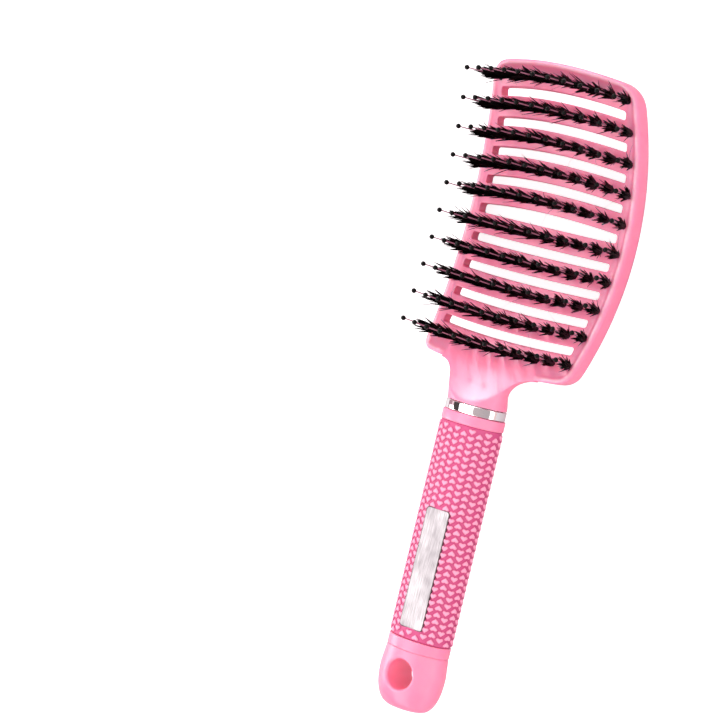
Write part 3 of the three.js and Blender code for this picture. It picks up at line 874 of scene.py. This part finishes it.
def grip_sleeve():
    """The sleeve's ground: a long band with small rounded ends."""
    profile = rounded_band(sleeve_low[1], sleeve_high[1], 1.6, 0.3)
    wall = np.linspace(sleeve_high[1] - 1, sleeve_low[1] + 1, 60)
    profile = [*profile[:5], *[(0.0, y) for y in wall], *profile[5:]]
    points, faces = oval_sweep(sleeve_oval(), profile, 200)
    # Relief 0: the whole ground takes the deep pink of the hollows, which is painted shade.
    relief = np.zeros(points.shape[:2])
    piece("grip_sleeve_ground", points, faces, RUBBER_PINK, SLEEVE_SLOT, ["grip_sleeve"],
          relief=relief)


def heart_outline(count):
    """A plump heart, one unit across its half width. It is the common heart curve, made
    rounder: across = sin cubed with some sin, and up = a falling sum of cosines."""
    t = 2 * np.pi * np.arange(count) / count
    across = 0.7 * np.sin(t) ** 3 + 0.3 * np.sin(t)
    up = (13 * np.cos(t) - 4 * np.cos(2 * t) - 1.2 * np.cos(3 * t) - 0.5 * np.cos(4 * t)) / 16
    return across, up + 0.08


def heart_relief():
    """Puffy hearts all over the sleeve, in staggered columns that point up and down by turns.

    A heart is rings of its outline, drawn in towards its middle and raised as a dome. Each
    point is then wrapped around the sleeve's oval by its distance along the oval."""
    oval = sleeve_oval()
    dense = np.linspace(0, 2 * np.pi, 2001)
    step = np.hypot(oval[0] * np.cos(dense), oval[1] * np.sin(dense)) * (dense[1] - dense[0])
    travelled = np.cumsum(step) - step[0]
    girth = travelled[-1]
    rows = int((sleeve_high[1] - sleeve_low[1] - 1.2) / HEART_PITCH)
    columns = np.arange(HEART_COLUMNS)
    s, row = np.meshgrid(columns * girth / HEART_COLUMNS, np.arange(rows + 1), indexing="ij")
    odd = (columns % 2)[:, None] * np.ones_like(row)
    y = sleeve_high[1] - 1.7 - (row + 0.5 * odd) * HEART_PITCH
    s, y, odd = s.ravel(), y.ravel(), odd.ravel()
    angle = np.interp(s, travelled, dense)
    x, z = oval[0] * np.sin(angle), oval[1] * np.cos(angle)
    on_sleeve = y > sleeve_low[1] + 0.9
    by_plate = (z > 0) & (np.abs(x) < plate_high[0] + 0.6)
    by_plate &= (y > plate_low[1] - 0.5) & (y < plate_high[1] + 0.5)
    keep = on_sleeve & ~by_plate
    s, y, odd = s[keep], y[keep], odd[keep]

    across, up = heart_outline(18)
    rings = np.array([1.0, 0.95, 0.82, 0.62, 0.36])
    rise = np.array([-0.3, 0.3, 0.68, 0.91, 1.0])
    points_up = np.where(odd > 0.5, -1.0, 1.0)[:, None, None]
    along = HEART_SIZE * HEART_SQUAT * rings[None, :, None] * up[None, None] * points_up
    around = HEART_SIZE * rings[None, :, None] * across[None, None] * np.ones_like(points_up)
    far = (s[:, None, None] + around) % girth
    angle = np.interp(far, travelled, dense)
    out = np.stack([np.sin(angle) / oval[0], np.cos(angle) / oval[1]], -1)
    out /= np.linalg.norm(out, axis=-1, keepdims=True)
    lift = HEART_RELIEF * rise[None, :, None] * np.ones_like(far)
    px = oval[0] * np.sin(angle) + out[..., 0] * lift
    pz = oval[1] * np.cos(angle) + out[..., 1] * lift
    points = np.stack([px, y[:, None, None] + along, pz], -1)
    hearts, depth, count = points.shape[:3]
    # Relief sets the painted shade and highlight: a heart's foot is deep pink, its dome pale.
    relief = np.broadcast_to(np.clip(rise, 0, 1)[None, :, None], points.shape[:3])
    start = (np.arange(hearts) * depth * count)[:, None, None]
    wall = (start + grid_faces(depth, count, wrap_columns=True)[None]).reshape(-1, 4)
    foot = start[:, 0] + np.arange(count)[None, ::-1]
    crest = start[:, 0] + (depth - 1) * count + np.arange(count)[None]
    flipped = odd > 0.5
    wall = wall.reshape(hearts, -1, 4)
    blocks = []
    for group, turned in ((~flipped, False), (flipped, True)):
        for block in (wall[group].reshape(-1, 4), foot[group], crest[group]):
            blocks.append(block[:, ::-1] if turned else block)
    piece("grip_sleeve_hearts", points, blocks, RUBBER_PINK, SLEEVE_SLOT, ["grip_sleeve"], 60,
          relief=relief)


def slab(low, high, corner, bevel, steps=8):
    """A flat plate with round corners and a small bevel, as an outline carried through a
    profile of insets and heights, with a polygon over each face."""
    turn = np.linspace(0, np.pi / 2, steps)
    soft = bevel * 0.3
    profile = [(bevel, low[2]), (0, low[2] + bevel), (0, high[2] - bevel),
               (soft, high[2] - soft), (bevel, high[2]), (bevel + 0.25, high[2])]
    middle = (low[:2] + high[:2]) / 2
    half = (high[:2] - low[:2]) / 2
    rings = []
    for inset, z in profile:
        reach, radius = half - inset, max(corner - inset, 0.05)
        quarter = np.stack([np.cos(turn), np.sin(turn)], -1) * radius + (reach - radius)
        right = np.concatenate([quarter, quarter[::-1] * [-1, 1]])
        ring = np.concatenate([right, right * [-1, -1]])
        rings.append(np.column_stack([ring + middle, np.full(len(ring), z)]))
    points = np.array(rings)
    count = points.shape[1]
    wall = grid_faces(len(rings), count, wrap_columns=True)
    ends = np.stack([np.arange(count)[::-1], (len(rings) - 1) * count + np.arange(count)])
    return points, [wall, ends]


def name_plate():
    """The silver plate without any lettering, and a dark slab round it that shows as a dark
    line at its edge: painted shade for the gap where the plate sits in its pocket.
    """
    points, faces = slab(plate_low, plate_high, 1.2, 0.14)
    piece("plate_face", points, faces, PEARL, PLATE_SLOT, ["name_plate"])
    # A dark slab, a little wider than the plate and just under it: a painted shade line.
    line, below = 0.22, 0.16
    low, high = plate_low - [line, line, 0], plate_high + [line, line, -below]
    points, faces = slab(low, high, 1.35, 0.1)
    piece("plate_shadow_line", points, faces, PLATE_SHADOW_LINE, PLATE_SLOT, ["name_plate"])


def cap_share(y):
    """The end cap's width at y, as a share of its half sizes: a cubic Bezier from the flat
    end around to the side, then nearly straight up to the collar."""
    end = cap_low[1]
    t = np.linspace(0, 1, 400)
    weights = [(1 - t) ** 3, 3 * t * (1 - t) ** 2, 3 * t**2 * (1 - t), t**3]
    shares, places = [0.46, 0.86, 1.06, 1.04], [end, end, end + 6, end + 15]
    bezier_share = sum(w * v for w, v in zip(weights, shares))
    bezier_y = sum(w * v for w, v in zip(weights, places))
    top = collar_low[1] - 0.02
    return np.interp(y, [*bezier_y, top], [*bezier_share, 0.98])


def end_cap():
    """The end cap, as one closed surface around its hang hole.

    At each angle about the hole, a loop runs out over the front to the outline, back over
    the rear, and through the hole. Its steps outwards follow a sine, so that they gather at
    the outline, and a quarter circle of HOLE_LIP rounds both mouths of the hole."""
    half_x, half_z = CAP_HALF
    low_y, high_y = cap_low[1] + 0.12, collar_low[1] - 0.02
    side_y = low_y + (high_y - low_y) * (1 - np.cos(np.linspace(0, np.pi, 400))) / 2
    side_x = half_x * cap_share(side_y)
    right = np.stack([side_x, side_y], -1)
    low_edge = np.stack([np.linspace(0, side_x[0], 60), np.full(60, low_y)], -1)
    high_edge = np.stack([np.linspace(side_x[-1], 0, 60), np.full(60, high_y)], -1)
    half = np.concatenate([low_edge[:-1], right, high_edge[1:]])
    angles = np.arctan2(half[:, 0], -(half[:, 1] - HANG_HOLE_Y))
    spans = np.hypot(half[:, 0], half[:, 1] - HANG_HOLE_Y)
    count = 240
    turn = 2 * np.pi * (np.arange(count) + 0.5) / count
    folded = np.where(turn > np.pi, 2 * np.pi - turn, turn)
    span = np.interp(folded, angles, spans)[:, None]
    way_x, way_y = np.sin(turn)[:, None], -np.cos(turn)[:, None]

    def surface(reach):
        """X, Y and the front's height at a distance from the hole's middle."""
        x, y = way_x * reach, HANG_HOLE_Y + way_y * reach
        share = cap_share(y)
        inside = np.clip(1 - (x / (half_x * share)) ** 2, 0, 1)
        return x, y, half_z * share * np.sqrt(inside)

    mouth = HANG_HOLE_RADIUS + HOLE_LIP
    out = np.sin(np.linspace(0, np.pi / 2, 30))[None]
    face_x, face_y, face_z = surface(mouth + (span - mouth) * out)
    lip = np.linspace(0, np.pi / 2, 7)[None, 1:]
    lip_reach = mouth - HOLE_LIP * np.sin(lip)
    lip_x, lip_y = way_x * lip_reach, HANG_HOLE_Y + way_y * lip_reach
    lip_z = face_z[:, :1] - HOLE_LIP * (1 - np.cos(lip))
    bore = np.linspace(1, -1, 9)[None, 1:-1] * lip_z[:, -1:]
    bore_x = np.broadcast_to(way_x * HANG_HOLE_RADIUS, bore.shape)
    bore_y = np.broadcast_to(HANG_HOLE_Y + way_y * HANG_HOLE_RADIUS, bore.shape)
    x = np.concatenate([face_x, face_x[:, ::-1], lip_x, bore_x[:, ::-1], lip_x[:, ::-1]], 1)
    y = np.concatenate([face_y, face_y[:, ::-1], lip_y, bore_y[:, ::-1], lip_y[:, ::-1]], 1)
    z = np.concatenate([face_z, -face_z[:, ::-1], -lip_z, bore[:, ::-1], lip_z[:, ::-1]], 1)
    points = np.stack([x, y, z], -1)
    faces = [grid_faces(count, x.shape[1], True, True)]
    piece("end_cap_shell", points, faces, HEAD_PINK, PINK_SLOT, ["end_cap"], 55)


def base_magnet():
    """The magnet: a disc with a small bevel, turned about the handle's axis."""
    radius = (magnet_high[0] - magnet_low[0]) / 2
    low, high = magnet_low[1], magnet_high[1]
    profile = np.array([
        (radius * 0.5, low), (radius - 0.3, low), (radius - 0.08, low + 0.08),
        (radius, low + 0.3), (radius, high),
    ])
    turn = 2 * np.pi * np.arange(64)[:, None] / 64
    x, z = profile[:, 0] * np.sin(turn), profile[:, 0] * np.cos(turn)
    points = np.stack([x, np.broadcast_to(profile[:, 1], x.shape), z], -1)
    wall = grid_faces(64, len(profile), wrap_rows=True)
    ring = np.arange(64)[None] * len(profile)
    ends = np.concatenate([ring, ring[:, ::-1] + len(profile) - 1])
    piece("magnet_disc", points, [wall, ends], NICKEL, MAGNET_SLOT, ["base_magnet"])


# ---- Studio -----------------------------------------------------------------------------------


# The sky, by its angle in degrees from straight up towards the right: how bright it is to a
# matt surface, and the colours that a glossy one sees in it.
SOFT_SKY = [(-90, 1.6), (-50, 1.6), (10, 1.3), (22, 2.4), (54, 2.4), (66, 1.5), (90, 1.5)]
GLOSSY_SKY = [
    (-90, (0.5, 0.28, 0.33)), (-74, (0.5, 0.28, 0.33)), (-70, (1.1, 0.8, 0.85)),
    (-67, (1.1, 0.8, 0.85)), (-64, (0.08, 0.06, 0.06)), (-45, (0.07, 0.06, 0.06)),
    (-42, (4.0, 4.0, 4.0)), (-7, (4.0, 4.0, 4.0)), (-3, (0.6, 0.5, 0.51)),
    (54, (0.48, 0.42, 0.43)), (58, (2.3, 2.2, 2.15)), (74, (2.3, 2.2, 2.15)),
    (79, (0.95, 0.72, 0.68)), (90, (0.95, 0.72, 0.68)),
]
BACKDROP = (0.95, 0.95, 0.95, 1)
TABLE_GLOW = 0.8


def ramp_of(tree, share, levels):
    """A colour ramp over the sky, from pairs of an angle in degrees and a colour."""
    ramp = add_node(tree, "ValToRGB", {"Fac": share})
    elements = ramp.color_ramp.elements
    while len(elements) < len(levels):
        elements.new(0.5)
    for element, (degrees, colour) in zip(elements, levels):
        element.position = (degrees + 90) / 180
        element.color = (*colour, 1)
    return ramp.outputs["Color"]


def studio_light():
    """A soft studio: a sky of bands about the brush's length, and two lamps.

    Matt surfaces are lit by the soft sky, which is brighter across the brush than along it.
    Glossy ones see the bands: a white box on the left with the dark gap that polished metal
    needs beside it, and a narrow box low on the right. The key lamp, over the top left,
    throws the tufts' shadows down the neck. The other lights the cap from its side."""
    world = bpy.data.worlds.new("soft_studio")
    bpy.context.scene.world = world
    world.use_nodes = True
    tree = world.node_tree
    tree.nodes.clear()
    way = add_node(tree, "TexCoord").outputs["Generated"]
    axes = add_node(tree, "SeparateXYZ", {"Vector": way}).outputs
    angle = {0: axes["X"], 1: axes["Z"]}
    angle = add_node(tree, "Math", angle, operation="ARCTAN2").outputs["Value"]
    share = {"Value": angle, "From Min": -math.pi / 2, "From Max": math.pi / 2}
    share = add_node(tree, "MapRange", share).outputs["Result"]
    soft = ramp_of(tree, share, [(degrees, (level,) * 3) for degrees, level in SOFT_SKY])
    along = add_node(tree, "Math", {0: axes["Y"]}, operation="ABSOLUTE").outputs["Value"]
    fade = {"Value": along, "From Min": 0.25, "From Max": 0.6, "To Min": 1.15, "To Max": 0.5}
    fade = add_node(tree, "MapRange", fade, interpolation_type="SMOOTHSTEP").outputs["Result"]
    soft = {"Vector": soft, "Scale": fade}
    soft = add_node(tree, "VectorMath", soft, operation="SCALE").outputs["Vector"]
    path = add_node(tree, "LightPath").outputs
    lit = {SHARE: path["Is Glossy Ray"], FIRST: soft, SECOND: ramp_of(tree, share, GLOSSY_SKY)}
    lit = add_node(tree, "Mix", lit, data_type="RGBA").outputs[MIXED]
    shown = {SHARE: path["Is Camera Ray"], FIRST: lit, SECOND: BACKDROP}
    shown = add_node(tree, "Mix", shown, data_type="RGBA").outputs[MIXED]
    back = add_node(tree, "Background", {"Color": shown, "Strength": 1.0})
    add_node(tree, "OutputWorld", {"Surface": back.outputs["Background"]})

    soft_box("key_box", (-0.5, 0.70, 0.45), 1.3, (0.12, 0.12), 4.2, (0, 0, 0))
    soft_box("side_box", (-0.95, -0.05, 0.3), 0.42, (0.2, 0.14), 0.5, (0, -120, 0))


def soft_box(name, way, distance, size, power, aim):
    """A lamp with a flat front, out of the camera's sight. It stands at a distance along a
    way from the place that it faces. The distance and the size are in metres, the power is
    in watts, and the place is in brush millimetres."""
    lamp = bpy.data.lights.new(name, "AREA")
    lamp.shape, lamp.size, lamp.size_y = "RECTANGLE", *size
    lamp.energy = power
    stand = bpy.data.objects.new(name, lamp)
    way = Vector(way).normalized()
    place = (Vector(aim) + Vector(ORIGIN)) * MM + way * distance
    turned = way.to_track_quat("Z", "Y").to_matrix().to_4x4()
    stand.matrix_world = Matrix.Translation(place) @ turned
    stand.visible_camera = False
    bpy.context.scene.collection.objects.link(stand)


def floor():
    """A pale table under the brush. It glows to the camera, so that a shadow stays faint."""
    half_size, gap = 20.0, 0.0005
    corners = [(-1, -1), (1, -1), (1, 1), (-1, 1)]
    corners = [(x * half_size, y * half_size, cad_low.z - gap) for x, y in corners]
    mesh = bpy.data.meshes.new("studio_floor")
    mesh.from_pydata(corners, [], [(0, 1, 2, 3)])
    finish, tree, shader, _ = new_finish("pale_table", Roughness=0.7, Specular_IOR_Level=0.1)
    seen = add_node(tree, "LightPath").outputs["Is Camera Ray"]
    glow = add_node(tree, "Math", {0: seen, 1: TABLE_GLOW}, operation="MULTIPLY")
    feed(tree, shader, {
        "Base Color": srgb("#c4bcbe"), "Emission Color": srgb("#ffffff"),
        "Emission Strength": glow.outputs["Value"]})
    mesh.materials.append(finish)
    made = bpy.data.objects.new("studio_floor", mesh)
    bpy.context.scene.collection.objects.link(made)


# The camera, with its angles in degrees and its distances in millimetres.
CAMERA_TURNED = 37.129
CAMERA_RAISED = 4.030
CAMERA_LEANING = 13.311
CAMERA_DISTANCE = 976.65
CAMERA_AIM = (-56.57, 5.76, 0.0)
CAMERA_LENS = 129.67
SENSOR_WIDTH = 36.0


def camera():
    """Looks down on the brush from its right. The angles are how far the camera is turned
    about the brush's length, how far it is raised towards the top of the head, and how far
    the brush then leans in the frame."""
    angles = CAMERA_TURNED, CAMERA_RAISED, CAMERA_LEANING
    turned, raised, leaning = (math.radians(angle) for angle in angles)
    aim = (Vector(CAMERA_AIM) + Vector(ORIGIN)) * MM
    back = Vector((
        math.sin(turned) * math.cos(raised),
        math.sin(raised),
        math.cos(turned) * math.cos(raised),
    ))
    level = Vector((math.cos(turned), 0, -math.sin(turned)))
    upright = back.cross(level)
    right = level * math.cos(leaning) + upright * math.sin(leaning)
    up = back.cross(right)
    data = bpy.data.cameras.new("studio_camera")
    data.lens, data.sensor_width = CAMERA_LENS, SENSOR_WIDTH
    data.clip_start, data.clip_end = 0.05, 50.0
    made = bpy.data.objects.new("studio_camera", data)
    made.matrix_world = Matrix.Translation(aim + back * CAMERA_DISTANCE * MM) @ Matrix((
        (right.x, up.x, back.x),
        (right.y, up.y, back.y),
        (right.z, up.z, back.z),
    )).to_4x4()
    bpy.context.scene.collection.objects.link(made)
    bpy.context.scene.camera = made


bpy.context.scene.view_settings.view_transform = "Standard"
camera()
studio_light()
floor()
head_rim()
head_bed()
head_neck()
for row in range(ROWS):
    bristle_row(row)
chrome_ring()
collars()
grip_sleeve()
heart_relief()
name_plate()
end_cap()
base_magnet()
